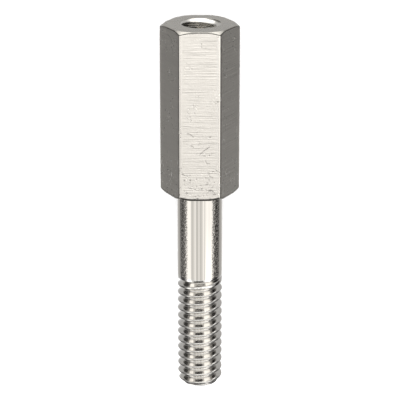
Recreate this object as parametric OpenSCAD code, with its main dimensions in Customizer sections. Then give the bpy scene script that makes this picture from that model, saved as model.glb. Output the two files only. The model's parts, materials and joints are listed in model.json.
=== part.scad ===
// Hexagonal standoff: a spacer turned from one length of hexagon bar, with a tapped
// hole in one end and a threaded stud on the other. Sizes are in millimetres.
//
// The part lies on one of its flats, as it comes to rest on a bench: +Z is up, +Y
// points along the axis out of the tapped end, and the stud points to -Y. The origin
// is on the bench, under the middle of the whole length.

/* [Hexagon body] */
// Width across the flats, the spanner size
across_flats = 6.35; // [5.5:0.05:8]
// Length of the body, from the shoulder to the tapped end
body_length = 15.875; // [13.5:0.125:40]
// How much wider than the flats the round face is that the corner chamfers leave on
// each end: 0 brings the chamfer down to the middle of each flat
end_face_over_flats = 0.05; // [-0.5:0.05:0.5]
// Slope of the corner chamfers, measured from the end face
corner_chamfer_angle = 31; // [15:1:45]

/* [Stud] */
// Length of the stud, from the shoulder to its tip
stud_length = 19.05; // [13:0.05:25]
// Length of the plain shank between the shoulder and the thread
shank_length = 8.3; // [1:0.1:11]
// Diameter of the plain shank
shank_d = 4.17; // [4.15:0.01:4.6]
// Outside diameter of the male thread
thread_d = 4.14; // [4:0.01:4.14]
// Pitch of both threads, 32 turns to the inch
thread_pitch = 0.79375; // [0.6:0.01:0.8]
// Slope of the chamfer that leads a nut onto the tip, measured from the axis
tip_chamfer_angle = 45; // [30:1:60]

/* [Tapped hole] */
// Diameter of the drilled hole, which is the crest of the female thread
tap_drill_d = 3.3; // [2.5:0.05:3.5]
// Depth of the drilled hole, down to the start of its pointed end
drill_depth = 11.1; // [6:0.1:12]
// Point angle of the drill
drill_point_angle = 118; // [90:1:140]

/* [Hidden] */
// A 60 degree thread is cut this share of its pitch deep
THREAD_DEPTH_RATIO = 0.6134;
// The turned shapes are drawn with this many steps to the circle
TURNED_STEPS = 96;
// Overlap between a cut and the face that it passes through
CUT_OVERLAP = 1;

across_corners = across_flats / cos(30);
end_face_d = across_flats + end_face_over_flats;
thread_root_d = thread_d - 2 * THREAD_DEPTH_RATIO * thread_pitch;
tip_chamfer_length = (thread_d - thread_root_d) / 2 / tan(tip_chamfer_angle);
drill_point_length = tap_drill_d / 2 / tan(drill_point_angle / 2);
overall_length = body_length + stud_length;
shoulder_y = stud_length - overall_length / 2;

// How far a corner chamfer reaches along the body at a given radius
function chamfer_reach(radius) = (radius - end_face_d / 2) * tan(corner_chamfer_angle);

// Turns a profile of [radius, height] points round the part's own axis
module turned(profile) {
    rotate_extrude($fn = TURNED_STEPS)
        polygon(profile);
}

// The bar's section over the body's length, flats facing up and down
module hexagon_bar() {
    cylinder(d = across_corners, h = body_length, $fn = 6);
}

// The lathe's cut on both ends of the bar: a cone takes off each corner and meets
// each flat in an arch
module corner_chamfers() {
    outer_r = across_corners / 2 + CUT_OVERLAP;
    turned([
        [0, 0],
        [end_face_d / 2, 0],
        [outer_r, chamfer_reach(outer_r)],
        [outer_r, body_length - chamfer_reach(outer_r)],
        [end_face_d / 2, body_length],
        [0, body_length]
    ]);
}

module hexagon_body() {
    intersection() {
        hexagon_bar();
        corner_chamfers();
    }
}

// Plain shank, thread and chamfered tip. The stud is one with the body, so its
// profile starts inside it.
module stud() {
    turned([
        [0, -stud_length],
        [thread_root_d / 2, -stud_length],
        [thread_d / 2, tip_chamfer_length - stud_length],
        [thread_d / 2, -shank_length],
        [shank_d / 2, -shank_length],
        [shank_d / 2, CUT_OVERLAP],
        [0, CUT_OVERLAP]
    ]);
}

// Blind hole for the female thread, with the cone that the drill leaves
module tapped_hole() {
    floor_z = body_length - drill_depth;
    turned([
        [0, floor_z - drill_point_length],
        [tap_drill_d / 2, floor_z],
        [tap_drill_d / 2, body_length + CUT_OVERLAP],
        [0, body_length + CUT_OVERLAP]
    ]);
}

// The profiles above stand on the shoulder with the tapped end up. This lays them
// along Y, with a flat on the bench.
module laid_on_a_flat() {
    translate([0, shoulder_y, across_flats / 2])
        rotate([-90, 0, 0])
            children();
}

module standoff() {
    color("silver")
        laid_on_a_flat()
            difference() {
                union() {
                    hexagon_body();
                    stud();
                }
                tapped_hole();
            }
}

standoff();
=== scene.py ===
# %% [markdown]
# # A hexagonal standoff
# The real part is one piece of bright stainless steel: a hexagon bar with a tapped hole in
# one end and a turned, half-threaded stud on the other. It lies on a flat, as it would on a
# bench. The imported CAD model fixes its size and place, and has plain cylinders where the
# real part has threads. This script builds the same part again as one closed surface, with
# true helical threads and softened edges, and then gives every region its own finish.

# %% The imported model, in metres
import json
from math import atan2, cos, degrees, pi, radians, sin, tan

import bpy
import numpy as np
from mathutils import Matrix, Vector


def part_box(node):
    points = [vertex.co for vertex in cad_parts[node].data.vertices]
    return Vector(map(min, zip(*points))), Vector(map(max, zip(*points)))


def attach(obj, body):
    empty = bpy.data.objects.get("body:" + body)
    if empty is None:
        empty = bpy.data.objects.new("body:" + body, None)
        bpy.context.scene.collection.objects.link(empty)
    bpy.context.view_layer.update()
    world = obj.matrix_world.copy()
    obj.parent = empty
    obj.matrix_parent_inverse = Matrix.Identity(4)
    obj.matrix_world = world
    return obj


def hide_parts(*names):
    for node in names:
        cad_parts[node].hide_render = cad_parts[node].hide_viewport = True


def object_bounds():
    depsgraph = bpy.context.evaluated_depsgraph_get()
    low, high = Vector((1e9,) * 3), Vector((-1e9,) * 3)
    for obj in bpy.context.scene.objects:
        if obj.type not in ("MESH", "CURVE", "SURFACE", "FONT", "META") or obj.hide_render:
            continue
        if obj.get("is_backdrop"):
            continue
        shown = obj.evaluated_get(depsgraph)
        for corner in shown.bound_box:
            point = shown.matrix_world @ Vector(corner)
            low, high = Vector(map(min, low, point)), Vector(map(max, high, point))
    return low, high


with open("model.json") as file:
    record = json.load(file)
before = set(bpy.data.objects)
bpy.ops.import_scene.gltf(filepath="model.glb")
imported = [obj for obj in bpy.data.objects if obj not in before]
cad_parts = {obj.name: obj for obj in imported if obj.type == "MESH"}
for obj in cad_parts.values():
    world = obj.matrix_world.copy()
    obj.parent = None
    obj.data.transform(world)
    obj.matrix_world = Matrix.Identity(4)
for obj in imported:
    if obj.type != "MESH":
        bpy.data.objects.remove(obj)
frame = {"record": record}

cad_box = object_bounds()
mm = 0.001
low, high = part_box("standoff")
mounts = {mount["name"]: mount for mount in frame["record"]["mounts"]}
print("length", round((high.y - low.y) / mm, 3), "mm")
print("across flats", round((high.z - low.z) / mm, 3), "mm")

# %% [markdown]
# ## Sizes
# The overall sizes and the mounts are read from the frame, so this surface follows the CAD
# model. What the CAD model leaves out is named here: the form of the thread, which is the
# same 60 degree form on every inch screw, and how softly each edge was broken. A blend is
# the width over which a crest or a root is rounded. The guard is how near a softened edge the
# next row of points lies, so that the softness stays there.

# %% Sizes
across_flats = high.z - low.z
axis_z = mounts["threaded_stud"]["pos_m"][2]
tip_y, shoulder_y, end_y = low.y, mounts["shoulder"]["pos_m"][1], high.y
thread_r = mounts["threaded_stud"]["dims"]["r_mm"] * mm
drill_r = mounts["female_thread"]["dims"]["r_mm"] * mm
drill_floor_y = end_y - mounts["female_thread"]["dims"]["length_mm"] * mm

pitch = 25.4 * mm / 32
male_depth, male_half_opening = 0.6134 * pitch, 7 / 16 * pitch
male_land_blend, male_root_blend = 0.05 * mm, 0.08 * mm
female_depth, female_half_opening = 0.5413 * pitch, 3 / 8 * pitch
female_land_blend, female_root_blend = 0.03 * mm, 0.04 * mm
tapped_length = 9.5 * mm
plain_length = 8.12 * mm
shank_r = 2.085 * mm
end_face_r = 3.2 * mm
corner_chamfer = radians(31)
tip_chamfer = radians(45)
drill_point = radians(118)

corner_radius = 0.22 * mm
tapped_edge_radius = 0.11 * mm
shoulder_edge_radius = 0.17 * mm
rim_radius = 0.03 * mm
fillet_radius = 0.09 * mm
guard = 0.03 * mm
print("body", round((end_y - shoulder_y) / mm, 3), "mm")
print("stud", round((shoulder_y - tip_y) / mm, 3), "mm")

# %% [markdown]
# ## One set of columns for the whole part
# Think of the part as rings threaded on its axis, like a stack of washers. If every ring has
# the same number of points at the same angles, neighbouring rings join into quads and the
# whole skin closes without a boolean. The angles come from the ring that is hardest to draw,
# the hexagon: a few points across each flat, and a fan of them round each softened corner.

# %% The hexagon's outline, and the angle of every column
def hexagon_outline(flat_steps=16, corner_steps=6):
    """(angle, distance from the axis) of each column round the bar.
    On a flat, a point that lies u to the side of the middle is at the angle atan(u / half)
    and the distance sqrt(u^2 + half^2). Round a corner, a point is the centre of the corner's
    arc plus corner_radius in the direction that the surface faces there."""
    half = across_flats / 2
    edge = (half - corner_radius) * tan(radians(30))
    inner = half * np.tan(np.linspace(-1, 1, flat_steps) * atan2(edge - guard, half))
    side = np.concatenate([[-edge], inner, [edge]])
    facing = np.linspace(0, radians(60), corner_steps + 1)[1:-1]
    centre = (half - corner_radius) / cos(radians(30))
    across = np.concatenate([side, centre * sin(radians(30)) + corner_radius * np.sin(facing)])
    out = np.concatenate([np.full(side.size, half),
                          centre * cos(radians(30)) + corner_radius * np.cos(facing)])
    turns = np.arange(6)[:, None] * radians(60)
    angle = (turns + np.arctan2(across, out)).ravel()
    return angle, np.tile(np.hypot(across, out), 6)


column_angle, hexagon_r = hexagon_outline()
COLUMNS = column_angle.size
print(COLUMNS, "columns, across corners", round(2 * hexagon_r.max() / mm, 3), "mm")

# %% [markdown]
# ## Collecting vertices and faces
# A mesh is only a list of points and a list of faces that name them by number. This small
# collector hands out the numbers, so each region can be written as its own function and
# still share its first and last ring with its neighbours. Angles run from straight up
# towards +X, and faces are wound so that they look away from the metal.

# %% The collector
class Skin:
    """Grows one closed mesh: add() returns the numbers of new points, face() stores faces."""

    def __init__(self):
        self.points, self.faces, self.finish, self.count = [], [], [], 0

    def add(self, angle, radius, y):
        """Points at an angle round the axis, a distance from it and a place along it."""
        angle, radius, y = np.broadcast_arrays(angle, radius, y)
        place = np.stack([radius * np.sin(angle), y, axis_z + radius * np.cos(angle)], -1)
        self.points.append(place.reshape(-1, 3))
        numbers = np.arange(self.count, self.count + angle.size).reshape(angle.shape)
        self.count += angle.size
        return numbers

    def face(self, *corners, finish):
        """Faces whose corners are arrays of numbers, in the order seen from outside."""
        table = np.stack(np.broadcast_arrays(*corners), -1).reshape(-1, len(corners))
        self.faces += table.tolist()
        self.finish += [finish] * len(table)

    def sleeve(self, rings, finish):
        """Quads between neighbouring rows of a table of numbers whose last column meets its
        first."""
        after = np.roll(rings, -1, axis=1)
        self.face(rings[:-1], after[:-1], after[1:], rings[1:], finish=finish)


skin = Skin()
print("empty skin:", skin.count, "points")

# %% [markdown]
# ## The thread
# A thread is a groove wound round a cylinder, and it climbs one pitch in each turn. It could
# be made with the Screw modifier, which leaves open ends, or by moving the rows of a dense
# grid, which leaves steps on every slope. Here the rows follow the groove itself. A strip of
# rows runs along the helix, and the land between two turns is one more band of quads. The
# strip opens from a single point and closes in a single point, which is just how a cut
# thread starts at the end of a screw and runs out on its shank.

# %% The form of a thread
def smooth_cap(value, top, blend):
    """The smaller of value and top, with the bend rounded over the distance blend."""
    near = np.clip(0.5 + 0.5 * (top - value) / blend, 0, 1)
    return top + (value - top) * near - blend * near * (1 - near)


def groove_depth(offset, scale, half_opening, deepest, land_blend, root_blend):
    """Depth of a 60 degree groove at a distance from its middle line: its flanks start
    half_opening to each side, it is capped by a rounded root and it has rounded lips.
    scale shrinks the whole groove where the thread runs out."""
    fall = (scale * half_opening - np.abs(offset)) / tan(radians(30))
    return smooth_cap(-smooth_cap(-fall, 0, land_blend), deepest, root_blend)


middle_depth = groove_depth(0, 1, male_half_opening, male_depth, male_land_blend, male_root_blend)
print("middle of the groove:", round(middle_depth / mm, 3), "mm deep")

# %% [markdown]
# ## A wall that carries the groove
# The strip is one table of points. Its long side counts the steps along the helix, one for
# each column that the helix passes, and its short side goes across the groove, from the lip
# below to the lip above. Nearly all of the bending is at the root and at the lips, so the
# rows are set close together there and wide apart on the straight flanks.

# %% Rows across the groove, as shares of half the strip
HALF_ACROSS = np.array([0.09, 0.18, 0.27, 0.5, 0.79, 0.86, 0.92, 1])
ACROSS_GROOVE = np.concatenate([-HALF_ACROSS[::-1], [0], HALF_ACROSS])
print("rows across the groove:", ACROSS_GROOVE.size)

# %% The strip along a groove
def groove_strip(y_below, y_above, middle, run_out, shape):
    """(steps, angle, radius, y), the last three as tables with a row for each step.
    middle is where the groove's middle line is at angle 0, run_out(angle) gives the share
    of the full groove at an angle counted on over the turns, and shape(y, offset, scale) is
    the distance from the axis at an offset from the middle line. Each step along the strip
    spans the groove from its lower lip to its upper lip, cut off at y_below and y_above."""
    lip = 0.495 * pitch  # half the strip, which leaves a narrow land between two turns
    first = int(np.floor((y_below - lip - middle) / pitch * COLUMNS)) - 2 * COLUMNS
    steps = np.arange(first, first + int((y_above - y_below) / pitch + 5) * COLUMNS)
    angle = column_angle[steps % COLUMNS] + 2 * pi * (steps // COLUMNS)
    scale = run_out(angle)
    centre = middle + pitch * angle / (2 * pi)
    lower = np.clip(centre - lip * scale, y_below, y_above)
    upper = np.clip(centre + lip * scale, y_below, y_above)
    open_steps = np.flatnonzero(upper > lower + 1e-9)
    keep = slice(open_steps[0] - 1, open_steps[-1] + 2)
    angle, scale, lower, upper, steps = (a[keep] for a in (angle, scale, lower, upper, steps))
    y = lower[:, None] + (upper - lower)[:, None] * (ACROSS_GROOVE + 1) / 2
    around = np.broadcast_to(angle[:, None], y.shape)
    radius = shape(y, y - (middle + pitch * around / (2 * pi)), scale[:, None])
    turns = (angle[-1] - angle[0]) / (2 * pi)
    print("groove:", round(turns, 1), "turns,", y.size, "points")
    return steps, around, radius, y


# %% [markdown]
# ## Closing the wall
# The strip winds up between two plain rings. It needs a fan of triangles at each end, quads
# along its length, the land from each turn to the next, and the lands that meet the ring
# below and the ring above. A wall seen from inside has the same faces, turned round.

# %% A wall that carries a thread
def threaded_wall(skin, below, above, strip, inside, finish):
    """Sews a strip, as groove_strip gives it, between two rings of numbers. Step n and the
    step one turn later, n + COLUMNS, lie in the same column, one above the other."""
    steps, around, radius, y = strip
    last, rows = len(steps) - 1, ACROSS_GROOVE.size
    number = np.empty(y.shape, int)
    number[1:-1] = skin.add(around[1:-1], radius[1:-1], y[1:-1])
    number[0] = skin.add(around[0, 0], radius[0, 0], y[0, 0])
    number[last] = skin.add(around[last, 0], radius[last, 0], y[last, 0])

    def put(*corners):
        skin.face(*(corners[::-1] if inside else corners), finish=finish)

    # along the strip: a fan at each end and quads between
    put(number[0, 0], number[1, :-1], number[1, 1:])
    put(number[1:-2, :-1], number[2:-1, :-1], number[2:-1, 1:], number[1:-2, 1:])
    put(number[last, 0], number[last - 1, 1:], number[last - 1, :-1])
    # the land between one turn and the next
    here = np.arange(0, last - COLUMNS)
    put(number[here, rows - 1], number[here + 1, rows - 1],
        number[here + 1 + COLUMNS, 0], number[here + COLUMNS, 0])
    # the lands that meet the two rings; the strip's end point makes one of them a pentagon
    column = steps % COLUMNS
    here = np.arange(0, COLUMNS - 1)
    put(below[column[here]], below[column[here + 1]], number[here + 1, 0], number[here, 0])
    turn = COLUMNS - 1
    put(below[column[turn]], below[column[0]], number[0, 0], number[COLUMNS, 0], number[turn, 0])
    here = np.arange(last - COLUMNS + 1, last)
    put(number[here, rows - 1], number[here + 1, rows - 1],
        above[column[here + 1]], above[column[here]])
    turn = last - COLUMNS
    put(number[turn, rows - 1], number[turn + 1, rows - 1], above[column[turn + 1]],
        above[column[turn]], number[last, 0])
    print("wall:", len(below), "columns,", "seen from inside" if inside else "seen from outside")


# %% [markdown]
# ## The bar's ends
# Both ends of the bar were turned in a lathe: a cone takes off each corner, and where it
# meets a flat it leaves an arch. In a section through the axis, an end is a small polygon:
# the end face, the slope of the cone and the side of the bar. Softening that polygon is easy
# if each point is told which way it faces. It is a corner of the polygon, moved in by the
# edge radius, plus the edge radius in the direction it faces. At the middle of a flat the
# bar is narrower than the cone's start, and there the two corners fall together.

# %% Rows of points over one end of the bar
def bar_end(face_y, outward, edge_radius):
    """(radius, y) rows from the end face, over the corner chamfer, to the side of the bar.
    outward is +1 or -1, the way the end faces along the axis."""
    tiny = 0.002 * mm
    face_corner_r = np.minimum(end_face_r - edge_radius * tan(corner_chamfer / 2),
                               hexagon_r - edge_radius - tiny)
    side_corner_r = hexagon_r - edge_radius
    on_cone = ((side_corner_r - end_face_r) * tan(corner_chamfer)
               + edge_radius / cos(corner_chamfer))
    side_corner_depth = -smooth_cap(-on_cone, -(edge_radius + tiny), 0.10 * mm)
    rows = [(face_corner_r - guard, 0.0)]
    for facing in np.linspace(0, corner_chamfer, 4):
        rows.append((face_corner_r + edge_radius * sin(facing), edge_radius * (1 - cos(facing))))
    for facing in np.linspace(corner_chamfer, pi / 2, 6):
        rows.append((side_corner_r + edge_radius * sin(facing),
                     side_corner_depth - edge_radius * cos(facing)))
    for further in (guard, 0.08 * mm):
        rows.append((hexagon_r, side_corner_depth + further))
    return [(radius, face_y - outward * depth) for radius, depth in rows]


end_rows = len(bar_end(end_y, 1, tapped_edge_radius))
print("one end:", end_rows, "rows of", COLUMNS, "points")

# %% [markdown]
# ## The whole skin
# The path starts at the middle of the stud's tip and ends at the bottom of the drilled hole,
# without ever leaving the surface: tip, male thread, shank, shoulder, bar, end face, rim,
# female thread, drill cone. Each stretch is a stack of rings, and the two threads are set
# between a ring below and a ring above.

# %% Rings, and the numbers of the finishes
GROUND, TURNED, SHANK, THREAD, HOLE = range(5)


def rings(rows):
    """Numbers for rows of (radius, y); a plain number is the same at every column."""
    radius, y = (np.array([np.broadcast_to(row[i], COLUMNS) for row in rows]) for i in (0, 1))
    return skin.add(column_angle[None, :], radius, y)


print("finishes:", HOLE + 1)

# %% [markdown]
# ## The stud
# A die cut the thread from the tip towards the bar, and stopped short of it. The tip was
# turned to a cone first, so that a nut starts easily. A boolean could cut that cone out of a
# finished thread. Here the cone is one more limit on the radius: at each point the smaller
# of the two holds, and the skin stays whole. A small fillet joins the shank to the shoulder.

# %% The tip, the male thread and the shank
male_middle = -7.03 * mm  # sets the places along the stud where the crests fall
male_stop_angle = pi  # the groove runs out to nothing on the underside
male_root_r = thread_r - male_depth
thread_top_y = shoulder_y - plain_length


def male_run_out(angle):
    """1 on the full thread, falling to 0 over the last three quarters of a turn."""
    return np.clip((male_stop_angle - angle) / (0.75 * 2 * pi), 0, 1)


def male_radius(y, offset, scale):
    """The groove cut into the stud, all of it turned down by the tip's cone."""
    cone = male_root_r + (y - tip_y) / tan(tip_chamfer)
    depth = groove_depth(offset, scale, male_half_opening, male_depth,
                         male_land_blend, male_root_blend)
    return smooth_cap(thread_r - depth, cone, 0.02 * mm)


tip = rings([(0.5 * mm, tip_y), (male_root_r - 0.04 * mm, tip_y), (male_root_r, tip_y)])
tip_centre = skin.add(0, 0, tip_y)
skin.face(tip_centre, np.roll(tip[0], -1), tip[0], finish=TURNED)
skin.sleeve(tip, TURNED)

shank = [(thread_r, thread_top_y), (shank_r, thread_top_y + 0.3 * mm),
         (shank_r, shoulder_y - fillet_radius - guard)]
for turn in np.linspace(0, pi / 2, 5):
    shank.append((shank_r + fillet_radius * (1 - cos(turn)),
                  shoulder_y - fillet_radius * (1 - sin(turn))))
shank = rings(shank)
# the strip stops a hair's breadth away from the rings at its two ends
male_strip = groove_strip(tip_y + 0.012 * mm, thread_top_y - 0.01 * mm,
                          male_middle, male_run_out, male_radius)
threaded_wall(skin, tip[-1], shank[0], male_strip, inside=False, finish=THREAD)
skin.sleeve(shank, SHANK)
print("stud:", len(tip), "rings on the tip and", len(shank), "on the shank")

# %% [markdown]
# ## The bar
# From the shoulder the skin goes over the lower chamfer, along the flats and over the upper
# chamfer to the end face. The tapped groove opens into the end face, so the rim of the hole
# isn't a circle: its radius at each column is that of the thread at the rim's height. The
# offset from the middle line is folded by whole pitches, to find the nearest turn.

# %% The bar, from the shoulder to the rim of the hole
female_middle = end_y - pitch * radians(170) / (2 * pi)  # the groove meets the end at 170 degrees


def female_radius(y, offset, scale):
    """The groove cut outwards from the drilled hole."""
    return drill_r + groove_depth(offset, scale, female_half_opening, female_depth,
                                  female_land_blend, female_root_blend)


shoulder = rings([(shank_r + fillet_radius + guard, shoulder_y), (2.75 * mm, shoulder_y)]
                 + bar_end(shoulder_y, -1, shoulder_edge_radius))
skin.sleeve(np.vstack([shank[-1:], shoulder[:-2]]), TURNED)
shoulder_arris = shoulder[7:15]  # six rows over the outer edge and two on the flats beside it

rim_y = end_y - rim_radius
rim_offset = rim_y - (female_middle + pitch * column_angle / (2 * pi))
rim_offset = (rim_offset + pitch / 2) % pitch - pitch / 2
rim_r = female_radius(rim_y, rim_offset, 1.0)
rim = [(2.95 * mm, end_y), (2.6 * mm, end_y), (rim_r + rim_radius + guard, end_y)]
for facing in radians(30) * np.arange(3):
    rim.append((rim_r + rim_radius * (1 - sin(facing)), rim_y + rim_radius * cos(facing)))
top = rings(bar_end(end_y, 1, tapped_edge_radius)[::-1] + rim)
skin.sleeve(np.vstack([shoulder[-3:], top[:3]]), GROUND)
skin.sleeve(top[2:], TURNED)
top_arris = top[2:8]  # six rows over the outer edge
print("bar:", shoulder.size + top.size, "points in", len(shoulder) + len(top), "rings")

# %% [markdown]
# ## The tapped hole
# A drill made the hole and left its pointed cone at the bottom, and then a tap cut the
# thread. It is the same wall as on the stud, with its faces turned to look into the hole and
# with a groove that goes outwards. Below the last turn the plain drilled wall is left.

# %% The tapped hole
female_stop_y = end_y - tapped_length
female_stop_angle = (female_stop_y - female_middle) / pitch * 2 * pi


def female_run_out(angle):
    """The tap's first teeth are lower, so the deepest turn and a half fades in."""
    return np.clip((angle - female_stop_angle) / (1.5 * 2 * pi), 0, 1)


hole = rings([(drill_r, female_stop_y - 0.2 * mm), (drill_r, drill_floor_y + guard),
              (drill_r, drill_floor_y), (drill_r - guard, drill_floor_y - 0.02 * mm)])
female_strip = groove_strip(female_stop_y - 0.1 * mm, rim_y,
                            female_middle, female_run_out, female_radius)
threaded_wall(skin, hole[0], top[-1], female_strip, inside=True, finish=HOLE)
skin.sleeve(hole, HOLE)
drill_apex = skin.add(0, 0, drill_floor_y - drill_r / tan(drill_point / 2))
skin.face(hole[-1], np.roll(hole[-1], -1), drill_apex, finish=HOLE)
print("hole:", round((end_y - drill_floor_y) / mm, 2), "mm deep at its side")

# %% [markdown]
# ## One mesh object
# The collected points and faces become one mesh. Two checks tell whether the skin is sound:
# in a closed skin every edge is used by exactly two faces, once in each direction, and if
# the faces look outwards the volume that they enclose comes out positive.

# %% Make the mesh and check it
def closed_and_volume(points, faces):
    """(is every edge used once each way, enclosed volume): the volume is the sum over the
    triangles of each face of corner dot (corner cross corner) / 6."""
    edges, volume = [], 0.0
    for size in (3, 4, 5):
        table = np.array([face for face in faces if len(face) == size])
        edges.append(np.stack([table, np.roll(table, -1, axis=1)], -1).reshape(-1, 2))
        for k in range(1, size - 1):
            a, b, c = points[table[:, 0]], points[table[:, k]], points[table[:, k + 1]]
            volume += np.einsum("ij,ij->", a, np.cross(b, c)) / 6
    edges = np.vstack(edges)
    each_way = set(map(tuple, edges.tolist()))
    closed = len(each_way) == len(edges) and all((b, a) in each_way for a, b in each_way)
    return closed, volume


points = np.vstack(skin.points)
mesh = bpy.data.meshes.new("hex_standoff")
mesh.from_pydata(points.tolist(), [], skin.faces)
mesh.polygons.foreach_set("material_index", skin.finish)
mesh.polygons.foreach_set("use_smooth", [True] * len(skin.faces))
mesh.update()
standoff = bpy.data.objects.new("hex_standoff", mesh)
bpy.context.scene.collection.objects.link(standoff)
closed, volume = closed_and_volume(points - points.mean(0), skin.faces)
print("closed:", closed, " volume:", round(volume * 1e9, 1), "mm3 ", len(points), "points")

# %% [markdown]
# ## A flat map of the surface
# Scratches and tool marks have to follow the surface. They could be laid out in space, but
# then they would slide over the corners. So the mesh gets a map in millimetres, like the
# unrolled wrapper of a sweet: u is the way round the part and v the way along it. On the bar,
# u runs along each flat in turn. The seam lies where the part touches the bench.

# %% The map in millimetres
number = np.empty(len(mesh.loops), int)
mesh.loops.foreach_get("vertex_index", number)
size = np.empty(len(mesh.polygons), int)
mesh.polygons.foreach_get("loop_total", size)
start = np.concatenate([[0], np.cumsum(size)[:-1]])

flat_width = across_flats * tan(radians(30))
away = points - np.array([0, 0, axis_z])
from_axis = np.hypot(away[:, 0], away[:, 2])
turned = np.arctan2(away[:, 0], away[:, 2])
from_flat_middle = np.mod(turned + radians(30), radians(60)) - radians(30)
flat_middle = turned - from_flat_middle
round_bar = flat_middle / radians(60) * flat_width + across_flats / 2 * np.tan(from_flat_middle)
on_bar = from_axis > 1.2 * shank_r
u = np.where(on_bar, round_bar, turned * shank_r) / mm
v = points[:, 1] / mm

once_round = np.where(on_bar, 6 * flat_width, 2 * pi * shank_r) / mm
face_u = np.repeat(u[number[start]], size)
face_round = np.repeat(once_round[number[start]], size)
corner_u = u[number]
corner_u = corner_u - face_round * np.round((corner_u - face_u) / face_round)
unrolled = mesh.uv_layers.new(name="millimetres")
unrolled.data.foreach_set("uv", np.stack([corner_u, v[number]], 1).ravel())
print("map:", round(corner_u.min(), 2), "to", round(corner_u.max(), 2), "mm round,",
      round(v.min(), 2), "to", round(v.max(), 2), "mm along")

# %% [markdown]
# ## Marks that belong to edges
# Edges wear in their own way. The six long corners were rubbed smooth in the tumbling drum.
# Along the turned edges of the bar a thin dark line of painted shade goes into the colour,
# strongest at the shoulder under the upper flat. A pattern can't know where an edge is, so
# the mesh carries that knowledge: one number on every point, which a material reads by its
# name.

# %% Write the two marks on the points
towards_corner = np.cos(radians(30) - np.abs(from_flat_middle))
corner_centre = (across_flats / 2 - corner_radius) / cos(radians(30))
# 1 at the crest of a rounded corner, and cos 30 = 0.87 where its arc meets the flats
over_corner = (from_axis * towards_corner - corner_centre) / corner_radius
rubbed = np.clip((over_corner - 0.80) / 0.06, 0, 1)

on_upper_flat = hexagon_r * np.cos(column_angle) > 0.499 * across_flats
# painted shade: a dark line along the turned edges, which darkens the colour of the flats and ends
painted_edge_shade = np.zeros(len(points))
share = np.where(on_upper_flat, 1, 0.45)
painted_edge_shade[shoulder_arris] = np.array([0, 0.7, 1, 1, 1, 1, 1, 0])[:, None] * share
painted_edge_shade[top_arris] = np.array([0, 0.5, 0.8, 0.8, 0.5, 0])[:, None]

for name, values in (("rubbed", rubbed), ("painted_edge_shade", painted_edge_shade)):
    mark = mesh.attributes.new(name, "FLOAT", "POINT")
    mark.data.foreach_set("value", values)
    print(name + ":", np.count_nonzero(values), "points marked")

# %% [markdown]
# ## Nodes in few words
# A material is a tree of nodes, and building one by hand takes many clicks. Here a single
# helper adds a node: its inputs are filled in order with numbers, colours or the outputs of
# other nodes, and its options are set by name. Colours are written as the usual hex codes of
# a screen, which hold bent values, so a second helper turns them straight for the renderer.

# %% Helpers for nodes and colours
def add(tree, kind, *inputs, out=0, **options):
    """Adds the node ShaderNode + kind. Each input in order is a value, which is typed in, an
    output, which is linked, or None, which leaves the input alone. options are the node's
    settings. Gives back the output named or numbered out, or the node itself for None."""
    node = tree.nodes.new("ShaderNode" + kind)
    for name, value in options.items():
        setattr(node, name, value)
    for socket, value in zip(node.inputs, inputs):
        if isinstance(value, bpy.types.NodeSocket):
            tree.links.new(value, socket)
        elif value is not None:
            socket.default_value = value
    return node if out is None else node.outputs[out]


def linear(code):
    """An sRGB hex colour as linear red, green, blue and alpha: values up to 0.04045 are
    divided by 12.92, and the rest follow the power 2.4 of (value + 0.055) / 1.055."""
    value = np.array([int(code[i:i + 2], 16) for i in (1, 3, 5)]) / 255
    value = np.where(value <= 0.04045, value / 12.92, ((value + 0.055) / 1.055) ** 2.4)
    return (*value.tolist(), 1.0)


print("middle grey:", [round(value, 3) for value in linear("#808080")])

# %% [markdown]
# ## Bare metal
# Every finish here is bare stainless steel. A metal has no colour of its own under the shine:
# its colour is the tint of what it mirrors, so metallic is 1 and the base colour is light.
# What differs from region to region is how rough the surface is and what relief it has. One
# helper starts such a material, and one links what it ends with.

# %% Helpers for a bare metal
def metal(name, code, roughness):
    """A new metal on the standoff. Gives back its tree and its shader."""
    material = bpy.data.materials.new(name)
    material.use_nodes = True
    shader = material.node_tree.nodes["Principled BSDF"]
    shader.inputs["Base Color"].default_value = linear(code)
    shader.inputs["Metallic"].default_value = 1.0
    shader.inputs["Roughness"].default_value = roughness
    mesh.materials.append(material)
    print("finish:", name)
    return material.node_tree, shader


def dress(tree, shader, tint, relief, roughness=None):
    """Links the outputs that give the metal its tint, its relief and its roughness."""
    tree.links.new(tint, shader.inputs["Base Color"])
    tree.links.new(relief, shader.inputs["Normal"])
    if roughness is not None:
        tree.links.new(roughness, shader.inputs["Roughness"])


print("finishes so far:", len(mesh.materials))

# %% [markdown]
# ## The flats
# The flats of the bar were ground across its length by a fine belt, and then the part was
# tumbled in a drum. That leaves three layers: the belt's lines, small dings in patches, and a
# few longer scratches. The material is built layer by layer. It starts with the map, and
# with where the upper flat ends, because on the side flats the dings also get painted light
# and painted shade in their colour: a flat that faces the light shows a relief well, and one
# that mirrors something dark hardly does.

# %% Start the flats' material
GROUND_STEEL = "#dcd7cf"
tree, shader = metal("belt_ground_stainless_flats", GROUND_STEEL, 0.28)
place = add(tree, "UVMap", uv_map="millimetres")
u_here, v_here = add(tree, "SeparateXYZ", place, out=None).outputs[:2]
from_top = add(tree, "Math", u_here, operation="ABSOLUTE")
side_flat = add(tree, "MapRange", from_top, 1.8, 2.4)
print("start:", len(tree.nodes), "nodes")

# %% [markdown]
# ## Patches of wear
# The drum knocked the part in patches, most of all near the shoulder, and noise is the
# plainest way to draw a patch. Blender's noise has round grains. Stretching the map before
# the noise reads it makes them long, and a Mapping node of the texture kind takes the size of
# a grain directly in the map's millimetres.

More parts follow.
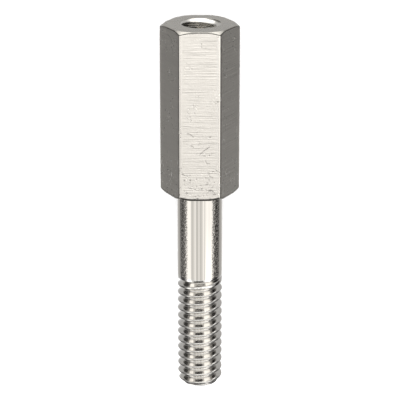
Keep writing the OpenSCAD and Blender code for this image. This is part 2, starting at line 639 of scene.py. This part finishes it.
# %% Noise with grains of a given size, and the patches
def grains(tree, place, size, turn=0.0, shift=0.0, detail=3.0):
    """Cloudy noise round 0.5. Its grains have a size in mm each way on a map that is turned
    and shifted, and detail adds finer grains, each time half as large."""
    spread = add(tree, "Mapping", place, (shift, shift, 0), (0, 0, turn), (*size, 1),
                 vector_type="TEXTURE")
    return add(tree, "TexNoise", spread, None, 1.0, detail, noise_dimensions="2D")


patches = grains(tree, place, (1.4, 2.4), shift=3.0, detail=2.0)
near_shoulder = add(tree, "MapRange", v_here, 5.0, 2.2, 0.0, 0.34)
more_on_sides = add(tree, "MapRange", side_flat, 0.0, 1.0, -0.03, 0.06)
more = add(tree, "Math", near_shoulder, more_on_sides, operation="MAXIMUM")
patches = add(tree, "Math", patches, more, operation="ADD")
patches = add(tree, "MapRange", patches, 0.55, 0.66)
print("patches:", len(tree.nodes), "nodes so far")

# %% [markdown]
# ## Dings and scratches
# In a tumbling drum the parts knock against each other. Each knock leaves a short bent
# furrow, with one flank in the light and one in shade; on the side flats that light and that
# shade are painted into the colour. Painting furrows one by one gives a few good ones. For the
# many small ones, a Voronoi texture cuts the map into random cells, and each cell holds one
# furrow, turned and shortened by the cell's own random colour.

# %% One stroke
def stroke(tree, local, half_length, half_width, bend):
    """A slim line along the first axis of a local place, bent into the parabola
    second = -bend * first^2. Gives back where it is, from 0 to 1, and its flanks, which run
    from -1 on one side to 1 on the other."""
    first, second = add(tree, "SeparateXYZ", local, out=None).outputs[:2]
    squared = add(tree, "Math", first, first, operation="MULTIPLY")
    aside = add(tree, "Math", squared, bend, second, operation="MULTIPLY_ADD")
    distance = add(tree, "Math", aside, operation="ABSOLUTE")
    on_line = add(tree, "MapRange", distance, half_width, 0.3 * half_width)
    along = add(tree, "Math", first, operation="ABSOLUTE")
    to_end = add(tree, "Math", half_length, along, operation="SUBTRACT")
    before_end = add(tree, "MapRange", to_end, 0.0, 0.7 * half_width)
    here = add(tree, "Math", on_line, before_end, operation="MULTIPLY")
    flanks = add(tree, "MapRange", aside, -0.4 * half_width, 0.4 * half_width, -1.0, 1.0)
    return here, flanks


print("before the first stroke:", len(tree.nodes), "nodes")

# %% Strokes scattered over the map
def scattered_strokes(tree, place, cell, half_length, half_width, shift):
    """One stroke in each cell of a given size. The cell's random colour sets its turn, its
    length and its tone. Gives back where the strokes are, their tone from -1, dull, to 1,
    bright, and their flanks."""
    spread = add(tree, "Mapping", place, (shift, shift, 0))
    patch = add(tree, "TexVoronoi", spread, None, 1 / cell, voronoi_dimensions="2D", out=None)
    from_point = add(tree, "VectorMath", spread, patch.outputs["Position"], operation="SUBTRACT")
    first, second, third = add(tree, "SeparateColor", patch.outputs["Color"], out=None).outputs
    turn = add(tree, "Math", first, 2 * pi, operation="MULTIPLY")
    local = add(tree, "VectorRotate", from_point, None, None, turn, rotation_type="Z_AXIS")
    length = add(tree, "MapRange", second, 0.0, 1.0, 0.3 * half_length, half_length)
    here, flanks = stroke(tree, local, length, half_width, 1.0 / cell)
    tone = add(tree, "MapRange", third, 0.0, 1.0, -1.0, 1.0)
    tone = add(tree, "Math", here, tone, operation="MULTIPLY")
    flanks = add(tree, "Math", here, flanks, operation="MULTIPLY")
    return here, tone, flanks


scratches, scratch_tone = scattered_strokes(
    tree, place, cell=0.75, half_length=0.30, half_width=0.035, shift=5.0)[:2]
dings, ding_tone, ding_flank_light_shade = scattered_strokes(
    tree, place, cell=0.46, half_length=0.12, half_width=0.08, shift=11.0)
ding_depth = add(tree, "MapRange", side_flat, 0.0, 1.0, 1.0, 0.25)
deep_dings = add(tree, "Math", dings, ding_depth, operation="MULTIPLY")
marks = add(tree, "Math", scratches, deep_dings, operation="MAXIMUM")
marks = add(tree, "Math", marks, patches, operation="MULTIPLY")
tone = add(tree, "Math", scratch_tone, ding_tone, operation="ADD")
tone = add(tree, "Math", tone, patches, operation="MULTIPLY")
# painted light and shade: on the side flats one flank of each ding is painted lighter and the
# other darker
flanks = add(tree, "Math", ding_flank_light_shade, patches, operation="MULTIPLY")
flanks = add(tree, "Math", flanks, side_flat, operation="MULTIPLY")
# painted glints: on the side flats each ding's tone is pushed lighter or darker again, as painted
# highlights and painted shade
painted_glints = add(tree, "Math", tone, side_flat, operation="MULTIPLY")
print("dings:", len(tree.nodes), "nodes so far")

# %% [markdown]
# ## The longer scratches
# A few marks are longer than the rest, and the eye finds them first. They are listed one by
# one: each row of the table is one stroke on the map, and a Mapping node carries the map to
# the stroke's own place. They are a little darker than the steel round them.

# %% Place the longer scratches
LONG_SCRATCHES = [
    # u and v of the middle, half length and half width in mm, turn in degrees, bend per mm
    (0.44, 6.47, 0.62, 0.035, 39, 0.1),
    (-0.80, 7.94, 0.36, 0.035, -33, 0.6),
    (-0.68, 6.86, 0.18, 0.035, -28, 1.0),
    (-1.49, 4.16, 0.20, 0.040, -27, 0.8),
    (0.97, 2.66, 0.45, 0.070, 5, 2.4),
    (0.62, 3.23, 0.15, 0.040, 0, 4.0),
    (0.47, 3.88, 0.11, 0.045, -48, 0.0),
    (1.18, 4.46, 0.11, 0.045, 10, 0.0),
    (0.94, 7.73, 0.10, 0.040, 0, 0.0),
    (-1.38, 3.60, 0.12, 0.045, -13, 1.0),
    (-0.64, 3.27, 0.14, 0.045, 70, 1.0),
    (-3.34, 16.60, 0.62, 0.080, -38, 0.5),
    (-3.00, 15.60, 0.40, 0.070, -60, 0.8),
]
for scratch_u, scratch_v, half_length, half_width, turn, bend in LONG_SCRATCHES:
    local = add(tree, "Mapping", place, (scratch_u, scratch_v, 0), (0, 0, radians(turn)),
                vector_type="TEXTURE")
    scratch = stroke(tree, local, half_length, half_width, bend)[0]
    marks = add(tree, "Math", marks, scratch, operation="MAXIMUM")
    tone = add(tree, "Math", scratch, -0.7, tone, operation="MULTIPLY_ADD")
longest = 2 * max(row[2] for row in LONG_SCRATCHES)
print(len(LONG_SCRATCHES), "long scratches, the longest", longest, "mm")

# %% [markdown]
# ## The belt's lines
# A grinding belt leaves fine lines side by side, some as long as the flat is wide. They stop
# a little before the corners, where the drum has rubbed them away. A real line is about
# 0.02 mm wide and would blur away in a render, so the lines are drawn about 0.1 mm wide.
# They are a relief and not a paint, so they are strong on a flat that faces the light and
# faint on the others. The dings of the side flats get a painted lit flank and a painted shaded
# flank as well, and painted glints, lighter and darker.

# %% Lines, tint, relief and roughness of the flats
long_lines = grains(tree, place, (9.0, 0.13), detail=1.0)
short_lines = grains(tree, place, (2.6, 0.09), shift=4.0, detail=1.0)
belt_lines = add(tree, "Math", long_lines, short_lines, operation="ADD")
belt_lines = add(tree, "MapRange", belt_lines, 0.7, 1.3)
clouds = grains(tree, place, (3.0, 0.9), shift=7.0, detail=2.0)
painted_edge_shade_here = add(tree, "Attribute", attribute_name="painted_edge_shade", out="Fac")
rubbed_here = add(tree, "Attribute", attribute_name="rubbed", out="Fac")

# the last three factors are painted light and shade: lit and shaded ding flanks and painted glints
# on the side flats, and the painted shade line along the turned edges
shade = 1.0
for value, from_low, from_high, darkest, lightest in (
        (belt_lines, 0.0, 1.0, 0.98, 1.02), (clouds, 0.3, 0.7, 0.98, 1.02),
        (tone, -1.0, 1.0, 0.58, 1.34), (flanks, -1.0, 1.0, 0.20, 1.80),
        (painted_glints, -1.0, 1.0, 0.7, 1.3), (painted_edge_shade_here, 1.0, 0.0, 0.22, 1.0)):
    factor = add(tree, "MapRange", value, from_low, from_high, darkest, lightest)
    shade = add(tree, "Math", shade, factor, operation="MULTIPLY")
tint = add(tree, "VectorMath", linear(GROUND_STEEL)[:3], None, None, shade, operation="SCALE")

half_flat = flat_width / 2 / mm
to_middle = add(tree, "Math", u_here, half_flat, -half_flat, operation="WRAP")
to_middle = add(tree, "Math", to_middle, operation="ABSOLUTE")
belt_height = add(tree, "MapRange", to_middle, 1.45, 1.72, 0.39, 0.0)
height = add(tree, "Math", belt_lines, belt_height, operation="MULTIPLY")
height = add(tree, "Math", marks, -0.8, height, operation="MULTIPLY_ADD")
line_depth = 0.016 * mm
relief = add(tree, "Bump", 1.0, line_depth, None, height)
roughness = add(tree, "MapRange", rubbed_here, 0.0, 1.0, 0.28, 0.06)
dress(tree, shader, tint, relief, roughness)
print("each flat is", round(2 * half_flat, 2), "mm wide")

# %% [markdown]
# ## The turned ends
# The end faces and the corner chamfers were cut by a lathe tool, which leaves rings round the
# axis like those of a record. The rings follow the distance from the axis, so noise along one
# line, read at that distance, draws them all. A real feed mark is about 0.05 mm wide, and
# here it is 0.12 mm. A faint stain from the cutting oil breaks up the even grey.

# %% Finish of the ends
TURNED_STEEL = "#c3bfb7"
tree, shader = metal("turned_stainless_ends", TURNED_STEEL, 0.27)
place = add(tree, "TexCoord", out="Object")
parts = add(tree, "SeparateXYZ", place, out=None).outputs
above_axis = add(tree, "Math", parts["Z"], axis_z, operation="SUBTRACT")
squares = add(tree, "Math", above_axis, above_axis, operation="MULTIPLY")
squares = add(tree, "Math", parts["X"], parts["X"], squares, operation="MULTIPLY_ADD")
axis_distance = add(tree, "Math", squares, operation="SQRT")
feed = add(tree, "TexNoise", None, axis_distance, 1 / (0.12 * mm), 2.0, noise_dimensions="1D")
stain = add(tree, "TexNoise", place, None, 1 / (1.2 * mm), 3.0)
painted_edge_shade_here = add(tree, "Attribute", attribute_name="painted_edge_shade", out="Fac")

shade = add(tree, "MapRange", stain, 0.3, 0.7, 0.95, 1.02)
# painted shade: the dark line along the turned edges darkens the colour of the ends
darker = add(tree, "MapRange", painted_edge_shade_here, 0.0, 1.0, 1.0, 0.22)
shade = add(tree, "Math", shade, darker, operation="MULTIPLY")
tint = add(tree, "VectorMath", linear(TURNED_STEEL)[:3], None, None, shade, operation="SCALE")
height = add(tree, "Math", feed, stain, operation="ADD")
feed_depth = 0.0015 * mm
relief = add(tree, "Bump", 1.0, feed_depth, None, height)
roughness = add(tree, "MapRange", stain, 0.3, 0.7, 0.24, 0.30)
dress(tree, shader, tint, relief, roughness)
print("ends:", len(tree.nodes), "nodes")

# %% [markdown]
# ## The shank
# The plain part of the stud was turned and burnished, so it is close to a mirror and shows
# the studio as bands along it. Two strips, where it rolled on other parts, are scuffed: fine
# slanted grains of about 0.2 mm, some of them dull, which make the edges of the bands ragged.
# Burnishing also leaves faint streaks along the shank, here 0.16 mm wide.

# %% Finish of the shank
POLISHED_STEEL = "#d8d3cb"
tree, shader = metal("burnished_stainless_shank", POLISHED_STEEL, 0.05)
place = add(tree, "UVMap", uv_map="millimetres")
u_here, v_here = add(tree, "SeparateXYZ", place, out=None).outputs[:2]
sideways = add(tree, "Math", u_here, operation="ABSOLUTE")
inner_edge = add(tree, "MapRange", sideways, 1.10, 1.40)
outer_edge = add(tree, "MapRange", sideways, 2.15, 2.00)
strip = add(tree, "Math", inner_edge, outer_edge, operation="MULTIPLY")
mirrored = add(tree, "CombineXYZ", sideways, v_here)
scuffs = grains(tree, mirrored, (0.22, 0.12), turn=radians(40), detail=1.0)
dull = add(tree, "MapRange", scuffs, 0.54, 0.63)
dull = add(tree, "Math", dull, strip, operation="MULTIPLY")
streaks = add(tree, "TexNoise", None, u_here, 1 / 0.16, 2.0, noise_dimensions="1D")

shade = add(tree, "MapRange", streaks, 0.35, 0.65, 0.92, 1.0)
darker = add(tree, "MapRange", dull, 0.0, 1.0, 1.0, 0.88)
shade = add(tree, "Math", shade, darker, operation="MULTIPLY")
tint = add(tree, "VectorMath", linear(POLISHED_STEEL)[:3], None, None, shade, operation="SCALE")
height = add(tree, "Math", scuffs, -0.5, operation="ADD")
height = add(tree, "Math", height, strip, operation="MULTIPLY")
scuff_depth = 0.030 * mm
relief = add(tree, "Bump", 1.0, scuff_depth, None, height)
roughness = add(tree, "MapRange", dull, 0.0, 1.0, 0.05, 0.30)
dress(tree, shader, tint, relief, roughness)
print("shank:", len(tree.nodes), "nodes")

# %% [markdown]
# ## The threads
# The outer thread was cut by a die, which tears the steel a little, so it is bright and a
# little wavy. The tap leaves the same inside the hole. The drum never reached in there, so
# that steel is cleaner, and its colour is painted lighter to brighten the hole: light in the
# hole is mirrored several times and loses the metal's tint each time. Waves of 0.35 mm are
# wide enough to shake the reflections without hiding the thread.

# %% Finish of the threads
for name, code, roughness, wave_depth in (
        ("cut_stainless_thread", "#d9d6d1", 0.08, 0.006 * mm),
        ("tapped_stainless_hole", "#e8e5df", 0.10, 0.010 * mm)):
    tree, shader = metal(name, code, roughness)
    place = add(tree, "TexCoord", out="Object")
    waves = add(tree, "TexNoise", place, None, 1 / (0.35 * mm), 3.0)
    shade = add(tree, "MapRange", waves, 0.3, 0.7, 0.94, 1.04)
    tint = add(tree, "VectorMath", linear(code)[:3], None, None, shade, operation="SCALE")
    dress(tree, shader, tint, add(tree, "Bump", 1.0, wave_depth, None, waves))
    print("waves:", round(wave_depth / mm, 3), "mm high")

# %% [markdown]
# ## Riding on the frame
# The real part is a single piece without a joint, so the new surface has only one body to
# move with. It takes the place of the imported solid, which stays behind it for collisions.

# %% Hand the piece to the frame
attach(standoff, "root")
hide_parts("standoff")
triangles = sum(len(face) - 2 for face in skin.faces)
print("hex_standoff rides on root with", triangles, "triangles")

# %% [markdown]
# ## The bench
# Under the part lies a large sheet of matt white card, at the height where the lower flat
# rests. A real card would show up in the polished steel as a white band from below, and on a
# wide studio table it mostly does not, because the table ends. Here the card is simply left
# out of mirror reflections, so it only catches the soft shadow.

# %% A sheet of white card
REACH = 2.0
card_corners = [(-REACH, -REACH, 0), (REACH, -REACH, 0), (REACH, REACH, 0), (-REACH, REACH, 0)]
bench_mesh = bpy.data.meshes.new("bench")
bench_mesh.from_pydata(card_corners, [], [(0, 1, 2, 3)])
bench = bpy.data.objects.new("bench", bench_mesh)
bpy.context.scene.collection.objects.link(bench)
bench.visible_glossy = False
card = bpy.data.materials.new("matt_white_card")
card.use_nodes = True
shader = card.node_tree.nodes["Principled BSDF"]
shader.inputs["Base Color"].default_value = linear("#fbfbfb")
shader.inputs["Roughness"].default_value = 1.0
shader.inputs["Specular IOR Level"].default_value = 0.0
bench_mesh.materials.append(card)
bench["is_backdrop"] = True
print("bench:", 2 * REACH, "m square")

# %% [markdown]
# ## The camera
# The part lies along Y, and the camera looks down on it with the tapped end uppermost. A
# tall, slim thing looks right from far away through a long lens, which keeps its sides
# nearly parallel. The camera stands in the plane of the axis, tipped towards the tapped end,
# so that the end face and the hole can be seen.

# %% Camera
LOOK_DOWN = radians(19.25)
DISTANCE = 200.3 * mm
lens = bpy.data.cameras.new("camera")
lens.lens = 194.6
camera = bpy.data.objects.new("camera", lens)
bpy.context.scene.collection.objects.link(camera)
aim = Vector((0.018 * mm, shoulder_y - 0.96 * mm, axis_z))
towards_camera = Vector((0, sin(LOOK_DOWN), cos(LOOK_DOWN)))
camera.location = aim + towards_camera * DISTANCE
camera.rotation_euler = (-LOOK_DOWN, 0, 0)
bpy.context.scene.camera = camera
print("camera:", round(DISTANCE, 3), "m away, seeing", round(degrees(lens.angle), 2), "degrees")

# %% [markdown]
# ## The studio
# Polished steel is a picture of the room it stands in, so the room matters more than any
# lamp. In a studio for small metal parts, white cards and softboxes stand all round, with
# dark gaps between them, and those gaps draw the dark bands that make steel look like steel.
# Lamps with real edges would do, but many small ones render with noise. A painted sky is
# smooth and quick: around is the angle of a direction round the part's axis, from straight
# up towards +X, and rise is its angle towards +Y. Each card is a soft window in those two
# angles, painted over the ones before it. Their values aren't all a designer's choice: a
# separate program fitted 19 of them to the brightness that the steel should show, and they
# were then rounded and partly changed by hand. The streaks, back_middle and back_crown are
# not among the fitted ones.

# %% Directions of the sky
world = bpy.data.worlds.new("studio")
bpy.context.scene.world = world
world.use_nodes = True
tree = world.node_tree
tree.nodes.clear()
direction = add(tree, "TexCoord")
towards_x, towards_y, towards_z = add(tree, "SeparateXYZ", direction, out=None).outputs
around = add(tree, "Math", towards_x, towards_z, operation="ARCTAN2")
around = add(tree, "Math", around, degrees(1), operation="MULTIPLY")
rise = add(tree, "Math", towards_y, operation="ARCSINE")
rise = add(tree, "Math", rise, degrees(1), operation="MULTIPLY")
print("directions:", len(tree.nodes), "nodes")

# %% Cards, softboxes and dark gaps
DIM = 0.54  # the light where no card is painted
STUDIO = {
    # middle and half width round the part, middle and half height of its rise, all in
    # degrees; lean, the turn round the part for each degree of rise; softness of the sides
    # and of the ends in degrees; light
    "back": (180, 65, -8, 58, 0, 30, 30, 0.54),
    "back_middle": (180, 32, -20, 20, 0, 20, 16, 0.84),
    "back_low": (180, 60, -59, 21, 0, 20, 6, 0.1),
    "side_left": (-105, 18, -14, 28, -0.25, 13, 20, 0.08),
    "side_right": (99, 20, -20, 22, 0.6, 15, 22, 0.03),
    "front_high": (-9, 67, 37, 19, -0.15, 16, 14, 0.61),
    "front": (-7, 62, 2, 14, -0.15, 16, 10, 0.98),
    "flag_left": (-94, 22, 18, 39, -1.05, 14, 24, 0.24),
    "flag_right": (96, 24, 28, 29, 0.95, 10, 14, 0.15),
    "upper_dark": (-2, 16, 37, 9, 0, 10, 8, 0.02),
    "middle": (16, 43, -11, 6, 0, 16, 6, 2.4),
    "low_middle": (-15, 37, -31, 14, 0, 6, 6, 1.04),
    "low_dark": (-7, 26, -33, 4, 0, 10, 4, 0.05),
    "low_left": (-58, 13, -21, 11, 0.4, 10, 10, 1.55),
    "low_right": (43, 26.5, -21, 9, -0.2, 5, 8, 1.5),
    "floor_left": (-61, 14, -36, 9, 0.3, 8, 8, 2.3),
    "floor_right": (46, 18, -33, 9.5, 0.1, 8, 7, 2.3),
    "streak_0": (-39, 7, -20, 9, 0, 8, 6, 0.9),
    "streak_1": (-14, 4, -20, 9, 0, 4, 6, 0.8),
    "streak_2": (-4, 3, -20, 9, 0, 4, 6, 1.2),
    "streak_3": (5, 3, -20, 9, 0, 4, 6, 0.76),
    "streak_4": (25, 3.5, -20, 9, 0, 4, 6, 1.12),
    "streak_5": (-24, 3.5, -20, 9, 0, 4, 6, 1.3),
    "under": (0, 60, -78, 34, 0, 20, 11, 0.03),
    "back_top": (178, 62, 71, 17, 0, 24, 32, 1.75),
    "back_crown": (180, 66, 75, 20, 0, 16, 10, 2.1),
    "top": (-18, 92, 84, 14, 0, 30, 12, 2.3),
}
brightest = max(row[-1] for row in STUDIO.values())
print("studio:", len(STUDIO), "cards and gaps, the brightest", brightest)

# %% Paint them one over another
light = DIM
for middle, half_width, height, half_height, lean, soft_sides, soft_ends, value in STUDIO.values():
    above = add(tree, "Math", rise, height, operation="SUBTRACT")
    leant = add(tree, "Math", above, -lean, around, operation="MULTIPLY_ADD")
    aside = add(tree, "Math", leant, middle, operation="SUBTRACT")
    aside = add(tree, "Math", aside, 180, -180, operation="WRAP")
    window = 1.0
    for offset, half, soft in ((aside, half_width, soft_sides), (above, half_height, soft_ends)):
        distance = add(tree, "Math", offset, operation="ABSOLUTE")
        inside = add(tree, "MapRange", distance, half + soft / 2, half - soft / 2, 0.0, 1.0,
                     interpolation_type="SMOOTHSTEP")
        window = add(tree, "Math", window, inside, operation="MULTIPLY")
    change = add(tree, "Math", value, light, operation="SUBTRACT")
    light = add(tree, "Math", change, window, light, operation="MULTIPLY_ADD")
print("painted:", len(tree.nodes), "nodes")

# %% [markdown]
# ## What the card and the camera see
# The painted sky is meant for the mirror only. The matt card and the background would turn
# grey and patchy under it, so they get plain white light instead. The Light Path node tells
# the two apart: its glossy output is 1 for a ray that comes off shiny metal. The sky is
# smooth, so it needs no map for aiming rays, and the Standard view keeps whites white.

# %% Join the sky to the world
PLAIN_WHITE = 1.8
off_metal = add(tree, "LightPath", out="Is Glossy Ray")
change = add(tree, "Math", light, PLAIN_WHITE, operation="SUBTRACT")
strength = add(tree, "Math", change, off_metal, PLAIN_WHITE, operation="MULTIPLY_ADD")
sky = add(tree, "Background", (1, 1, 1, 1), strength)
add(tree, "OutputWorld", sky, out=None)
world.cycles.sampling_method = "NONE"
bpy.context.scene.view_settings.view_transform = "Standard"
print("sky:", len(tree.nodes), "nodes")

# %% [markdown]
# ## Does it still fit?
# The surface must keep the size of the imported model, or a nut and a spanner that fit one
# would not fit the other. The sizes of the two boxes are printed.

# %% Print the sizes of both boxes
visual_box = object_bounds()
boxes = {"cad": [list(corner) for corner in cad_box],
         "visual": [list(corner) for corner in visual_box]}
for name, (lowest, highest) in boxes.items():
    print(name, "size:", [round((b - a) / mm, 3) for a, b in zip(lowest, highest)], "mm")
